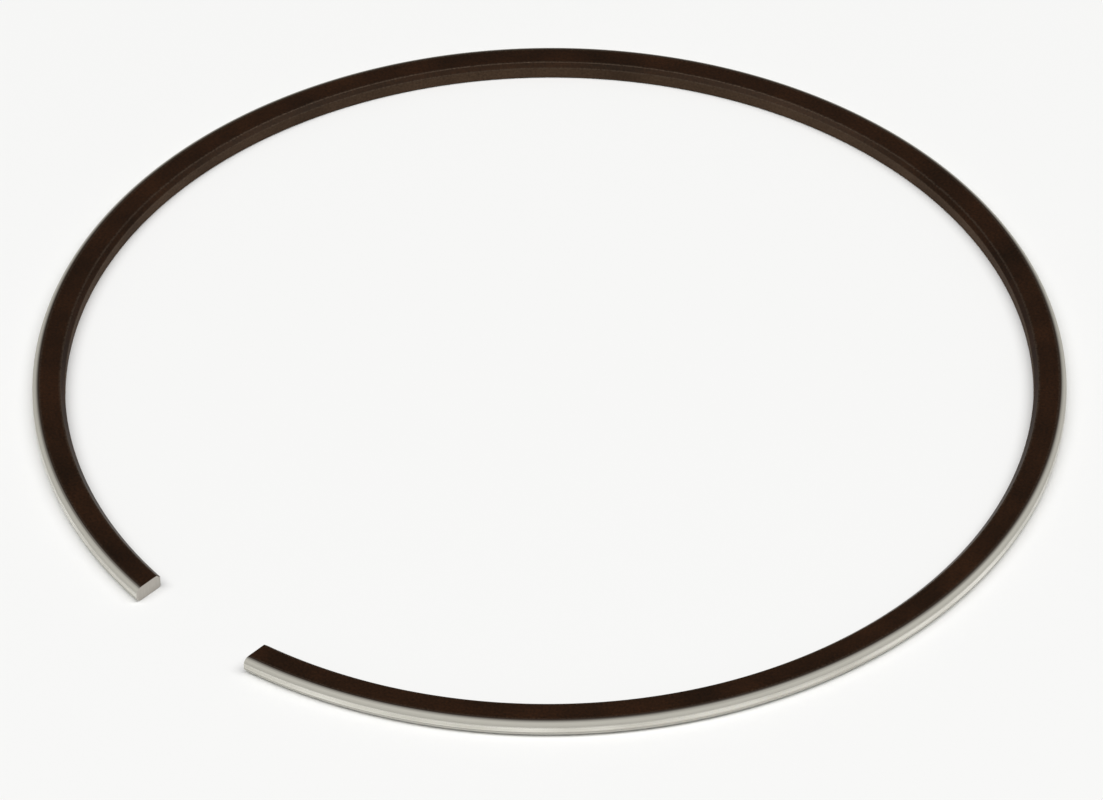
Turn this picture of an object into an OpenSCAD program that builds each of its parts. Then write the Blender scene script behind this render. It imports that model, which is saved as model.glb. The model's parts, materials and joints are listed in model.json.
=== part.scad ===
// Split piston ring in its free, sprung-open state, lying flat on its lower side face.
// The ring's axis is Z, the lower side face is at z = 0 and the gap opens towards -Y.

/* [Ring] */
// Outer diameter in the free state
free_diameter = 88; // [60:0.5:130]
// Radial width, from the bore wall to the running face
radial_width = 2.8; // [1.8:0.1:4]
// Height along the axis, between the two side faces
ring_height = 1.5; // [1.3:0.1:3]

/* [Gap] */
// Clear width between the two parallel end faces in the free state
free_gap = 12.4; // [4:0.2:24]

/* [Edges] */
// Radius on both edges of the running face
running_edge_radius = 0.6; // [0.1:0.05:0.6]
// Bevel on the upper edge of the bore wall
bore_bevel = 0.4; // [0.1:0.05:0.6]
// Chamfer on the lower edge of the bore wall
bore_chamfer = 0.1; // [0.05:0.05:0.4]

/* [Hidden] */
$fn = 180;
outer_r = free_diameter / 2;
bore_r = outer_r - radial_width;
// Where both flat side faces end outside, at the round edges
side_outer_r = outer_r - running_edge_radius;
// How far the gap cut runs past the side faces and the running face
cut_past = 1;

// Cross-section in the XZ half plane: a flat bar, bevelled above and chamfered below at the bore,
// and rounded at the running face
module section() {
    polygon([
        [bore_r + bore_chamfer, 0],
        [side_outer_r, 0],
        [outer_r, running_edge_radius],
        [outer_r, ring_height - running_edge_radius],
        [side_outer_r, ring_height],
        [bore_r + bore_bevel, ring_height],
        [bore_r, ring_height - bore_bevel],
        [bore_r, bore_chamfer]
    ]);
    for (round_z = [running_edge_radius, ring_height - running_edge_radius])
        translate([side_outer_r, round_z])
            circle(r = running_edge_radius);
}

// The gap cut: a slot with parallel sides, from the ring's axis out past the running face
module gap_cut() {
    translate([-free_gap / 2, -outer_r - cut_past, -cut_past])
        cube([free_gap, outer_r + cut_past, ring_height + 2 * cut_past]);
}

// The whole ring is one turned casting, slit at the gap
module compression_ring() {
    color("#2a1e16")
        difference() {
            rotate_extrude()
                section();
            gap_cut();
        }
}

compression_ring();
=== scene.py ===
import json
import math

import bpy
import numpy as np
from mathutils import Matrix, Vector


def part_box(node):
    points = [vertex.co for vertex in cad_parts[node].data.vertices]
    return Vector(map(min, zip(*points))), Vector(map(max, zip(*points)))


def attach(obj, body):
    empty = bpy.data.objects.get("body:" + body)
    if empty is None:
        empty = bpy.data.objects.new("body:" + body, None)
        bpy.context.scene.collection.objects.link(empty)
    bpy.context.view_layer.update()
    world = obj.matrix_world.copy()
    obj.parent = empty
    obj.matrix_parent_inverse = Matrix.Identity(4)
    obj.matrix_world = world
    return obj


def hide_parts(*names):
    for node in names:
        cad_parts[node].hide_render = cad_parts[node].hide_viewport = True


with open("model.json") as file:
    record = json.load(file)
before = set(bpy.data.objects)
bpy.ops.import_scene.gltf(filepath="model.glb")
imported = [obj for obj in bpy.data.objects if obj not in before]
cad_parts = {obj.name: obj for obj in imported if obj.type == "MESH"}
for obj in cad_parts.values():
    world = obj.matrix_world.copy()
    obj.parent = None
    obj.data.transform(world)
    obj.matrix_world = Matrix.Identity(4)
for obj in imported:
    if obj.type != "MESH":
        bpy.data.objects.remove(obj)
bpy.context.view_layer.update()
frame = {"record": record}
mm = 0.001  # one millimetre in metres


# sRGB hex to linear RGBA: the low end is a straight line, the rest a 2.4 power
def hexToLinear(hexColour):
    srgb = np.array([int(hexColour[i:i + 2], 16) for i in (1, 3, 5)]) / 255
    linear = np.where(srgb <= 0.04045, srgb / 12.92, ((srgb + 0.055) / 1.055) ** 2.4)
    return (*linear.tolist(), 1.0)


# adds one node: settings are its properties, inputs are values or the sockets that feed it
def addNode(tree, kind, inputs=None, **settings):
    node = tree.nodes.new(kind)
    for name, value in settings.items():
        setattr(node, name, value)
    for name, value in (inputs or {}).items():
        if isinstance(value, bpy.types.NodeSocket):
            tree.links.new(value, node.inputs[name])
        else:
            node.inputs[name].default_value = value
    return node


# an empty material and its node tree, where a finish makes its patterns
def startFinish(name):
    material = bpy.data.materials.new(name)
    material.use_nodes = True
    material.node_tree.nodes.clear()
    print("finish", name)
    return material, material.node_tree


# the surface shader of a finish, with the patterns that feed it
def closeFinish(tree, shaderInputs):
    shader = addNode(tree, "ShaderNodeBsdfPrincipled", shaderInputs)
    addNode(tree, "ShaderNodeOutputMaterial", {"Surface": shader.outputs["BSDF"]})


phosphate = {
    "deep": "#110702",  # brown-black of the thick coat
    "thin": "#2f1a0c",  # where the coat is thin
    "cloudMm": 6.0,  # patches of thick and thin coat
    "cloudDetail": 3.0,
    "grainMm": 0.22,  # crystals are about 0.02 mm: drawn coarser so that they show
    "grainDetail": 4.0,
    "deepUpTo": 0.12,  # patches times grain: all deep below this
    "thinFrom": 0.4,  # and all thin above this
    "bareEdge": "#54483d",  # iron rubbed through at the edges
    "rubStarts": 0.3,  # wear times grain where iron starts to show
    "rubFull": 0.75,
    "layMm": 0.14,  # spacing of the lapping lines
    "layRunMm": 14.0,  # how far one line runs along the ring
    "layDetail": 3.0,
    "heightMm": 0.004,  # relief of the grain and the lines
    "roughLow": 0.34,
    "roughHigh": 0.46,
    "specular": 0.24,  # a porous oiled coat gives back less than a smooth one
    "oilTint": "#ffe3c9",  # the oil in the coat warms what it mirrors
}

# the bore is turned and not lapped, so its coat is coarser and matt; its paler colour is painted light,
# standing in for the floor's light thrown back onto the bore wall
boreCoatPaintedLight = {
    **phosphate,
    "deep": "#38291d",
    "thin": "#513f30",
    "roughLow": 0.6,
    "roughHigh": 0.75,
    "specular": 0.12,
}


# manganese-phosphated iron: a fine crystal coat that drinks light, brown-black and satin, with paler edges
def phosphatedIron(name, look):
    material, tree = startFinish(name)
    lay = addNode(tree, "ShaderNodeUVMap", uv_map="ringLay").outputs["UV"]
    clouds = addNode(tree, "ShaderNodeTexNoise", {
        "Vector": lay, "Scale": 1 / look["cloudMm"], "Detail": look["cloudDetail"]})
    grain = addNode(tree, "ShaderNodeTexNoise", {
        "Vector": lay, "Scale": 1 / look["grainMm"], "Detail": look["grainDetail"]})
    along = addNode(tree, "ShaderNodeMapping", {
        "Vector": lay, "Scale": (1 / look["layRunMm"], 1 / look["layMm"], 1.0)})
    lines = addNode(tree, "ShaderNodeTexNoise", {
        "Vector": along.outputs["Vector"], "Scale": 1.0, "Detail": look["layDetail"]})
    patchMix = addNode(tree, "ShaderNodeMath", {
        0: clouds.outputs["Fac"], 1: grain.outputs["Fac"]}, operation="MULTIPLY")
    patches = addNode(tree, "ShaderNodeMapRange", {
        "Value": patchMix.outputs["Value"], "From Min": look["deepUpTo"], "From Max": look["thinFrom"]})
    coat = addNode(tree, "ShaderNodeMix", {
        0: patches.outputs["Result"],
        6: hexToLinear(look["deep"]),
        7: hexToLinear(look["thin"])}, data_type="RGBA")
    # the rubbed band on an edge is broken up by the grain
    wear = addNode(tree, "ShaderNodeAttribute", attribute_name="edgeWear").outputs["Fac"]
    rub = addNode(tree, "ShaderNodeMath", {0: wear, 1: grain.outputs["Fac"]}, operation="MULTIPLY")
    rubbed = addNode(tree, "ShaderNodeMapRange", {
        "Value": rub.outputs["Value"], "From Min": look["rubStarts"], "From Max": look["rubFull"]})
    colour = addNode(tree, "ShaderNodeMix", {
        0: rubbed.outputs["Result"],
        6: coat.outputs[2],
        7: hexToLinear(look["bareEdge"])}, data_type="RGBA")
    rough = addNode(tree, "ShaderNodeMapRange", {
        "Value": lines.outputs["Fac"], "To Min": look["roughLow"], "To Max": look["roughHigh"]})
    relief = addNode(tree, "ShaderNodeMath", {
        0: grain.outputs["Fac"], 1: lines.outputs["Fac"]}, operation="ADD")
    bump = addNode(tree, "ShaderNodeBump", {
        "Height": relief.outputs["Value"], "Distance": look["heightMm"] * mm})
    closeFinish(tree, {
        "Base Color": colour.outputs[2],
        "Metallic": rubbed.outputs["Result"],
        "Roughness": rough.outputs["Result"],
        "Specular IOR Level": look["specular"],
        "Specular Tint": hexToLinear(look["oilTint"]),
        "Normal": bump.outputs["Normal"]})
    return material


running = {
    "pale": "#efede5",
    "shade": "#bab7ad",
    "cloudMm": 9.0,  # paler and darker stretches of the face
    "cloudDetail": 2.0,
    "shadeUpTo": 0.12,  # stretches times lapping lines: all shade below this
    "paleFrom": 0.4,  # and all pale above this
    "coatLeft": "#25180e",  # coat that lapping leaves on the round edges
    "coatEnds": 0.05,  # outward share of a round edge's normal where iron starts to show
    "ironStarts": 0.75,  # and where no coat is left
    "lowerRub": 0.5,  # how much further the coat is rubbed off the lower round edge: painted light, making that edge paler against the shade where the ring rests
    "edgeStreak": 0.3,  # how far the lapping lines break up the coat's border
    "edgeRough": 0.7,  # the rubbed edges are matt
    "edgeSpecular": 0.2,
    "polishStarts": 0.9,  # outward share where the matt edge starts to turn into lapped metal
    "polishFull": 1.0,
    "layMm": 0.09,  # spacing of the lapping lines round the face
    "layRunMm": 30.0,
    "layDetail": 3.0,
    "heightMm": 0.0015,
    "roughLow": 0.14,
    "roughHigh": 0.26,
}


# lapped iron: bare pale grey metal with fine lines round the face, which smear the light into a soft band
def lappedRunningFace(look):
    material, tree = startFinish("lappedRunningFace")
    lay = addNode(tree, "ShaderNodeUVMap", uv_map="ringLay").outputs["UV"]
    along = addNode(tree, "ShaderNodeMapping", {
        "Vector": lay, "Scale": (1 / look["layRunMm"], 1 / look["layMm"], 1.0)})
    lines = addNode(tree, "ShaderNodeTexNoise", {
        "Vector": along.outputs["Vector"], "Scale": 1.0, "Detail": look["layDetail"]})
    clouds = addNode(tree, "ShaderNodeTexNoise", {
        "Vector": lay, "Scale": 1 / look["cloudMm"], "Detail": look["cloudDetail"]})
    toneMix = addNode(tree, "ShaderNodeMath", {
        0: lines.outputs["Fac"], 1: clouds.outputs["Fac"]}, operation="MULTIPLY")
    tone = addNode(tree, "ShaderNodeMapRange", {
        "Value": toneMix.outputs["Value"], "From Min": look["shadeUpTo"], "From Max": look["paleFrom"]})
    # over the upper round edge the coat, streaked along the lapping lines, fades into matt iron and then into
    # bare metal. The lower edge is matt, and down to where the ring rests it is painted pale, with more coat
    # rubbed off and pale mixed in where it faces down: painted light against the shade
    outward = addNode(tree, "ShaderNodeAttribute", attribute_name="outwardShare").outputs["Fac"]
    below = addNode(tree, "ShaderNodeAttribute", attribute_name="belowShare").outputs["Fac"]
    upright = addNode(tree, "ShaderNodeMath", {0: outward, 1: below}, operation="SUBTRACT")
    polish = addNode(tree, "ShaderNodeMapRange", {
        "Value": upright.outputs["Value"],
        "From Min": look["polishStarts"],
        "From Max": look["polishFull"]}, interpolation_type="SMOOTHSTEP")
    streak = addNode(tree, "ShaderNodeMapRange", {
        "Value": lines.outputs["Fac"],
        "To Min": -look["edgeStreak"] / 2,
        "To Max": look["edgeStreak"] / 2})
    # the extra rub on the lower round edge paints it paler: painted light against the shade under the ring
    rubbed = addNode(tree, "ShaderNodeMath", {
        0: below, 1: look["lowerRub"], 2: outward}, operation="MULTIPLY_ADD")
    border = addNode(tree, "ShaderNodeMath", {
        0: rubbed.outputs["Value"], 1: streak.outputs["Result"]}, operation="ADD")
    bare = addNode(tree, "ShaderNodeMapRange", {
        "Value": border.outputs["Value"],
        "From Min": look["coatEnds"],
        "From Max": look["ironStarts"]}, interpolation_type="SMOOTHSTEP")
    # the pale colour also grows where the normal faces down: painted light on the lower round edge
    paleToneAndPaintedLight = addNode(tree, "ShaderNodeMath", {
        0: tone.outputs["Result"], 1: polish.outputs["Result"], 2: below}, operation="MULTIPLY_ADD")
    iron = addNode(tree, "ShaderNodeMix", {
        0: paleToneAndPaintedLight.outputs["Value"],
        6: hexToLinear(look["shade"]),
        7: hexToLinear(look["pale"])}, data_type="RGBA")
    colour = addNode(tree, "ShaderNodeMix", {
        0: bare.outputs["Result"],
        6: hexToLinear(look["coatLeft"]),
        7: iron.outputs[2]}, data_type="RGBA")
    lineRough = addNode(tree, "ShaderNodeMapRange", {
        "Value": lines.outputs["Fac"], "To Min": look["roughLow"], "To Max": look["roughHigh"]})
    rough = addNode(tree, "ShaderNodeMix", {
        0: polish.outputs["Result"],
        2: look["edgeRough"],
        3: lineRough.outputs["Result"]}, data_type="FLOAT")
    bump = addNode(tree, "ShaderNodeBump", {
        "Height": lines.outputs["Fac"], "Distance": look["heightMm"] * mm})
    closeFinish(tree, {
        "Base Color": colour.outputs[2],
        "Metallic": polish.outputs["Result"],
        "Roughness": rough.outputs[0],
        "Specular IOR Level": look["edgeSpecular"],
        "Normal": bump.outputs["Normal"]})
    return material


cutEnd = {
    "iron": "#c6c2bb",
    "smear": "#a59f97",
    "scratchMm": 0.12,  # spacing of the grinding lines, which run from one side face to the other
    "scratchRunMm": 1.2,  # how far one line runs
    "scratchDetail": 3.0,
    "heightMm": 0.003,
    "roughLow": 0.35,
    "roughHigh": 0.5,
}


# ground iron: the ends are cut after coating, so they show grey metal with straight grinding lines
def groundEndFace(look):
    material, tree = startFinish("groundEndFace")
    place = addNode(tree, "ShaderNodeTexCoord").outputs["Object"]
    across = addNode(tree, "ShaderNodeMapping", {
        "Vector": place,
        "Scale": (1.0, 1 / (look["scratchMm"] * mm), 1 / (look["scratchRunMm"] * mm))})
    lines = addNode(tree, "ShaderNodeTexNoise", {
        "Vector": across.outputs["Vector"], "Scale": 1.0, "Detail": look["scratchDetail"]})
    colour = addNode(tree, "ShaderNodeMix", {
        0: lines.outputs["Fac"],
        6: hexToLinear(look["smear"]),
        7: hexToLinear(look["iron"])}, data_type="RGBA")
    rough = addNode(tree, "ShaderNodeMapRange", {
        "Value": lines.outputs["Fac"], "To Min": look["roughLow"], "To Max": look["roughHigh"]})
    bump = addNode(tree, "ShaderNodeBump", {
        "Height": lines.outputs["Fac"], "Distance": look["heightMm"] * mm})
    closeFinish(tree, {
        "Base Color": colour.outputs[2],
        "Metallic": 1.0,
        "Roughness": rough.outputs["Result"],
        "Normal": bump.outputs["Normal"]})
    return material


# the ring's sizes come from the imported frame: its mounts, and the box of its one solid
mounts = {mount["name"]: mount for mount in frame["record"]["mounts"]}
boreWall, runningFace = mounts["bore"]["dims"], mounts["running_face"]["dims"]
lowCorner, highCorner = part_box("compression_ring")
outerRadius = runningFace["r_mm"] * mm
boreRadius = boreWall["r_mm"] * mm
ringHeight = highCorner.z - lowCorner.z
runningEdge = (ringHeight - runningFace["length_mm"] * mm) / 2
boreChamfer = mounts["bore"]["pos_m"][2]  # the bore wall starts above the lower chamfer
boreBevel = ringHeight - boreChamfer - boreWall["length_mm"] * mm  # and ends at the upper bevel
halfGap = math.sqrt(outerRadius ** 2 - lowCorner.y ** 2)
print("ring", "radius", outerRadius, "bore", boreRadius, "height", ringHeight, "half gap", halfGap)

ring = {
    "edgeBreakMm": 0.06,  # rounding left on the chamfers' corners
    "endBreakMm": 0.04,  # rounding of the end faces' edges
    "wearWidthMm": 0.12,  # how far the rubbed band reaches in from an edge
    "arcSteps": 8,
    "flatSteps": 5,
    "endSteps": 4,
    "turnSteps": 720,
}
lowerRunning, upperRunning, bevelFoot = 1, 2, 4  # places of these corners in the section's outline
sideSlot, boreSlot, runningSlot, endSlot = range(4)  # the ring's finishes, in the order of its materials


# section of the ring as a closed outline: each corner is an arc tangent to its two sides, and each side is
# a straight run from that arc to the next. Returns points as radius and height, their outward normals,
# the lengths round the outline and the edge wear, which fades away from each corner
def ringSection(look):
    corners = np.array([
        (boreRadius + boreChamfer, 0),
        (outerRadius, 0),
        (outerRadius, ringHeight),
        (boreRadius + boreBevel, ringHeight),
        (boreRadius, ringHeight - boreBevel),
        (boreRadius, boreChamfer)])
    radii = np.full(len(corners), look["edgeBreakMm"] * mm)
    radii[[lowerRunning, upperRunning]] = runningEdge
    before = np.roll(corners, 1, 0) - corners
    after = np.roll(corners, -1, 0) - corners
    before /= np.linalg.norm(before, axis=1, keepdims=True)
    after /= np.linalg.norm(after, axis=1, keepdims=True)
    halfAngle = np.arccos(np.sum(before * after, 1)) / 2
    bisector = before + after
    bisector /= np.linalg.norm(bisector, axis=1, keepdims=True)
    centres = corners + bisector * (radii / np.sin(halfAngle))[:, None]
    # the arc's normals turn evenly from the first side's to the second's
    turn = np.linspace(-1, 1, look["arcSteps"] + 1) * (math.pi / 2 - halfAngle)[:, None]
    middle = np.arctan2(-bisector[:, 1], -bisector[:, 0])[:, None]
    arcNormals = np.stack([np.cos(middle + turn), np.sin(middle + turn)], -1)
    arcs = centres[:, None] + arcNormals * radii[:, None, None]
    share = np.linspace(0, 1, look["flatSteps"] + 2)[1:-1]
    flatStart = arcs[:, -1]
    flatRun = np.roll(arcs[:, 0], -1, 0) - flatStart
    flats = flatStart[:, None] + flatRun[:, None] * share[:, None]
    flatNormals = np.repeat(arcNormals[:, -1:], look["flatSteps"], 1)
    outline = np.concatenate([arcs, flats], 1).reshape(-1, 2)
    normals = np.concatenate([arcNormals, flatNormals], 1).reshape(-1, 2)
    fromEdge = np.minimum(share, 1 - share) * np.linalg.norm(flatRun, axis=1)[:, None]
    flatWear = np.exp(-fromEdge / (look["wearWidthMm"] * mm))
    wear = np.concatenate([np.ones(arcs.shape[:2]), flatWear], 1).ravel()
    steps = np.linalg.norm(np.roll(outline, -1, 0) - outline, axis=1)
    lengths = np.concatenate([[0], np.cumsum(steps)])
    return outline, normals, lengths, wear


# the ring is that section carried round the axis between two parallel end planes: a point at radius r starts
# at the angle whose sine is half gap / r, so each end is flat, and close to an end the section draws in by
# a quarter circle. Returns each point's radius, angle and height, its outward normal, and how far each row
# is drawn in
def ringSurface(look, outline, normals):
    endBreak = look["endBreakMm"] * mm
    quarter = np.linspace(0, math.pi / 2, look["endSteps"] + 1)[:-1]
    inset = endBreak * (1 - np.cos(quarter))  # how far behind the end plane
    drawIn = endBreak * (1 - np.sin(quarter))  # how far the section is drawn in there
    turn = np.linspace(0, 1, look["turnSteps"] + 1)
    plane = halfGap + np.concatenate([inset, np.full(turn.size, endBreak), inset[::-1]])
    shrink = np.concatenate([drawIn, np.zeros(turn.size), drawIn[::-1]])
    along = np.concatenate([np.zeros(inset.size), turn, np.ones(inset.size)])
    radius = outline[:, 0] - shrink[:, None] * normals[:, 0]
    height = outline[:, 1] - shrink[:, None] * normals[:, 1]
    halfAngle = np.arcsin(plane[:, None] / radius)
    angle = -math.pi / 2 + halfAngle + along[:, None] * (2 * math.pi - 2 * halfAngle)
    # at the ends the normal leans into the gap, which lies towards -X from the first end and +X from the last
    lean = np.concatenate([np.cos(quarter), np.zeros(turn.size), -np.cos(quarter[::-1])])[:, None]
    upright = np.sqrt(1 - lean ** 2)
    facing = np.stack([
        upright * normals[:, 0] * np.cos(angle) - lean,
        upright * normals[:, 0] * np.sin(angle),
        upright * normals[:, 1]], -1)
    return radius, angle, height, facing, shrink


# the mesh has a quad between every four neighbours of that surface, and each flat end is a fan of triangles
# round the middle of its outline
def buildRing(look):
    outline, normals, lengths, wear = ringSection(look)
    radius, angle, height, facing, shrink = ringSurface(look, outline, normals)
    points = np.stack([radius * np.cos(angle), radius * np.sin(angle), height], -1).reshape(-1, 3)
    rows, columns = angle.shape
    row, column = np.meshgrid(np.arange(rows - 1), np.arange(columns), indexing="ij")
    following = (column + 1) % columns
    quads = np.stack([
        row * columns + column,
        (row + 1) * columns + column,
        (row + 1) * columns + following,
        row * columns + following], -1).reshape(-1, 4)
    # the last end runs backwards, so that it faces outwards
    ends = np.stack([np.arange(columns), (rows - 1) * columns + np.arange(columns)[::-1]])
    nextEnds = np.roll(ends, -1, 1)
    middles = np.broadcast_to(rows * columns + np.arange(2)[:, None], ends.shape)
    fans = np.stack([middles, ends, nextEnds], -1).reshape(-1, 3)
    points = np.concatenate([points, points[ends].mean(1)])
    facing = np.concatenate([facing.reshape(-1, 3), [(-1, 0, 0), (1, 0, 0)]])
    # pattern coordinates in millimetres: along the ring, and round the section without wrapping at its seam
    runMm = (angle + math.pi / 2) * outerRadius / mm
    nextRunMm = np.roll(runMm, -1, 1)
    roundMm = np.broadcast_to(lengths / mm, (rows - 1, columns + 1))
    quadUvs = np.stack([
        np.stack([runMm[:-1], runMm[1:], nextRunMm[1:], nextRunMm[:-1]], -1),
        np.stack([roundMm[:, :-1], roundMm[:, :-1], roundMm[:, 1:], roundMm[:, 1:]], -1)], -1)
    sectionMm = np.stack([radius, height], -1).reshape(-1, 2) / mm
    middleUvs = np.broadcast_to(sectionMm[ends].mean(1, keepdims=True), (*ends.shape, 2))
    fanUvs = np.stack([middleUvs, sectionMm[ends], sectionMm[nextEnds]], 2)
    mesh = bpy.data.meshes.new("splitRing")
    mesh.from_pydata(points.tolist(), [], [*quads.tolist(), *fans.tolist()])
    uvLayer = mesh.uv_layers.new(name="ringLay")
    uvLayer.data.foreach_set("uv", np.concatenate([quadUvs.ravel(), fanUvs.ravel()]))
    attributes = {
        "edgeWear": np.maximum(wear, (shrink > 0)[:, None]),
        "outwardShare": np.tile(normals[:, 0], rows),
        "belowShare": np.tile(np.maximum(-normals[:, 1], 0), rows),
    }
    for name, values in attributes.items():
        layer = mesh.attributes.new(name, "FLOAT", "POINT")
        everyPoint = np.append(values, [0, 0])  # the ends' two middles have none
        layer.data.foreach_set("value", everyPoint.astype(np.float32))
    # the running face and its two round edges are lapped, the end faces ground, the rest coated
    block = look["arcSteps"] + 1 + look["flatSteps"]  # columns from one corner to the next
    lapped = (column >= lowerRunning * block) & (column < upperRunning * block + look["arcSteps"])
    inBore = column >= bevelFoot * block
    sides = np.select([inBore, lapped], [boreSlot, runningSlot], sideSlot)
    finish = np.concatenate([sides.ravel(), np.full(len(fans), endSlot)])
    mesh.materials.append(phosphatedIron("phosphatedSideFace", phosphate))
    # the bore's paler coat colour is painted light from the floor
    mesh.materials.append(phosphatedIron("phosphatedBore", boreCoatPaintedLight))
    mesh.materials.append(lappedRunningFace(running))
    mesh.materials.append(groundEndFace(cutEnd))
    mesh.polygons.foreach_set("material_index", finish.astype(np.int32))
    mesh.polygons.foreach_set("use_smooth", np.ones(len(mesh.polygons), bool))
    mesh.normals_split_custom_set_from_vertices(facing.tolist())
    mesh.update()
    piece = bpy.data.objects.new("splitRing", mesh)
    bpy.context.scene.collection.objects.link(piece)
    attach(piece, "root")
    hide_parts("compression_ring")
    print("ring built with", len(mesh.polygons), "faces")


buildRing(ring)


# unit vector from the ring's centre, with the sine and cosine of both angles: azimuth 0 lies towards -Y and
# turns towards +X, and elevation rises from the floor
def pointing(azimuthDeg, elevationDeg):
    azimuth, elevation = math.radians(azimuthDeg), math.radians(elevationDeg)
    level = math.cos(elevation)
    return Vector((math.sin(azimuth) * level, -math.cos(azimuth) * level, math.sin(elevation)))


photoView = {
    "azimuthDeg": 42.95,  # the gap shows to the lower left
    "elevationDeg": 41.16,
    "rollDeg": -0.28,
    "distanceMm": 699.0,
    "radiusPx": 516.3,  # the ring's outer radius in the picture, where the camera looks
    "widthPx": 1103,
    "aimRightMm": 0.17,  # where the middle of the picture lies, seen from the ring's centre
    "aimUpMm": -1.55,
    "clipStartMm": 10,
}


# the camera stands off along its azimuth and elevation, looks at a point close to the ring's centre and
# rolls about that line
def placeCamera(look):
    backward = pointing(look["azimuthDeg"], look["elevationDeg"])
    sideways = Vector((0, 0, 1)).cross(backward).normalized()
    upward = backward.cross(sideways)
    aim = (sideways * look["aimRightMm"] + upward * look["aimUpMm"]) * mm
    distance = look["distanceMm"] * mm
    camera = bpy.data.objects.new("photoCamera", bpy.data.cameras.new("photoCamera"))
    ringShare = look["radiusPx"] / look["widthPx"]  # of the picture's width
    camera.data.lens = camera.data.sensor_width * ringShare * distance / outerRadius
    camera.data.clip_start = look["clipStartMm"] * mm
    roll = Matrix.Rotation(math.radians(look["rollDeg"]), 3, "Z")
    turned = Matrix((sideways, upward, backward)).transposed() @ roll
    camera.matrix_world = Matrix.Translation(backward * distance + aim) @ turned.to_4x4()
    bpy.context.scene.collection.objects.link(camera)
    bpy.context.scene.camera = camera
    print("camera lens", round(camera.data.lens, 1), "mm")


placeCamera(photoView)

studio = {
    "floorColour": "#f3f3f2",
    "floorRough": 0.9,
    "floorSpecular": 0.1,
    "floorSizeMm": 8000,
    "keyAzimuthDeg": 47,  # the soft light hangs almost overhead, a little towards the camera
    "keyElevationDeg": 80,
    "keyDistanceMm": 2500,
    "keyWidthMm": 5600,  # it reaches far to both sides
    "keyDepthMm": 1300,
    "keyWatts": 98,
    "fillColour": "#ffffff",
    "fillStrength": 0.14,
}


# a pale matt floor at the ring's lower face, one wide soft light almost overhead and a dim even fill
def buildStudio(look):
    half = look["floorSizeMm"] * mm / 2
    mesh = bpy.data.meshes.new("paleFloor")
    corners = [(-half, -half, 0), (half, -half, 0), (half, half, 0), (-half, half, 0)]
    mesh.from_pydata(corners, [], [(0, 1, 2, 3)])
    material, tree = startFinish("mattPaper")
    closeFinish(tree, {
        "Base Color": hexToLinear(look["floorColour"]),
        "Roughness": look["floorRough"],
        "Specular IOR Level": look["floorSpecular"]})
    mesh.materials.append(material)
    floor = bpy.data.objects.new("paleFloor", mesh)
    bpy.context.scene.collection.objects.link(floor)
    light = bpy.data.lights.new("softKey", "AREA")
    light.shape = "RECTANGLE"
    light.size = look["keyWidthMm"] * mm
    light.size_y = look["keyDepthMm"] * mm
    light.energy = look["keyWatts"]
    key = bpy.data.objects.new("softKey", light)
    away = pointing(look["keyAzimuthDeg"], look["keyElevationDeg"])
    key.location = away * look["keyDistanceMm"] * mm
    key.rotation_euler = away.to_track_quat("Z", "Y").to_euler()
    bpy.context.scene.collection.objects.link(key)
    world = bpy.data.worlds.new("evenFill")
    world.use_nodes = True
    background = world.node_tree.nodes["Background"]
    background.inputs["Color"].default_value = hexToLinear(look["fillColour"])
    background.inputs["Strength"].default_value = look["fillStrength"]
    bpy.context.scene.world = world
    bpy.context.scene.view_settings.view_transform = "Standard"
    print("studio ready")


buildStudio(studio)
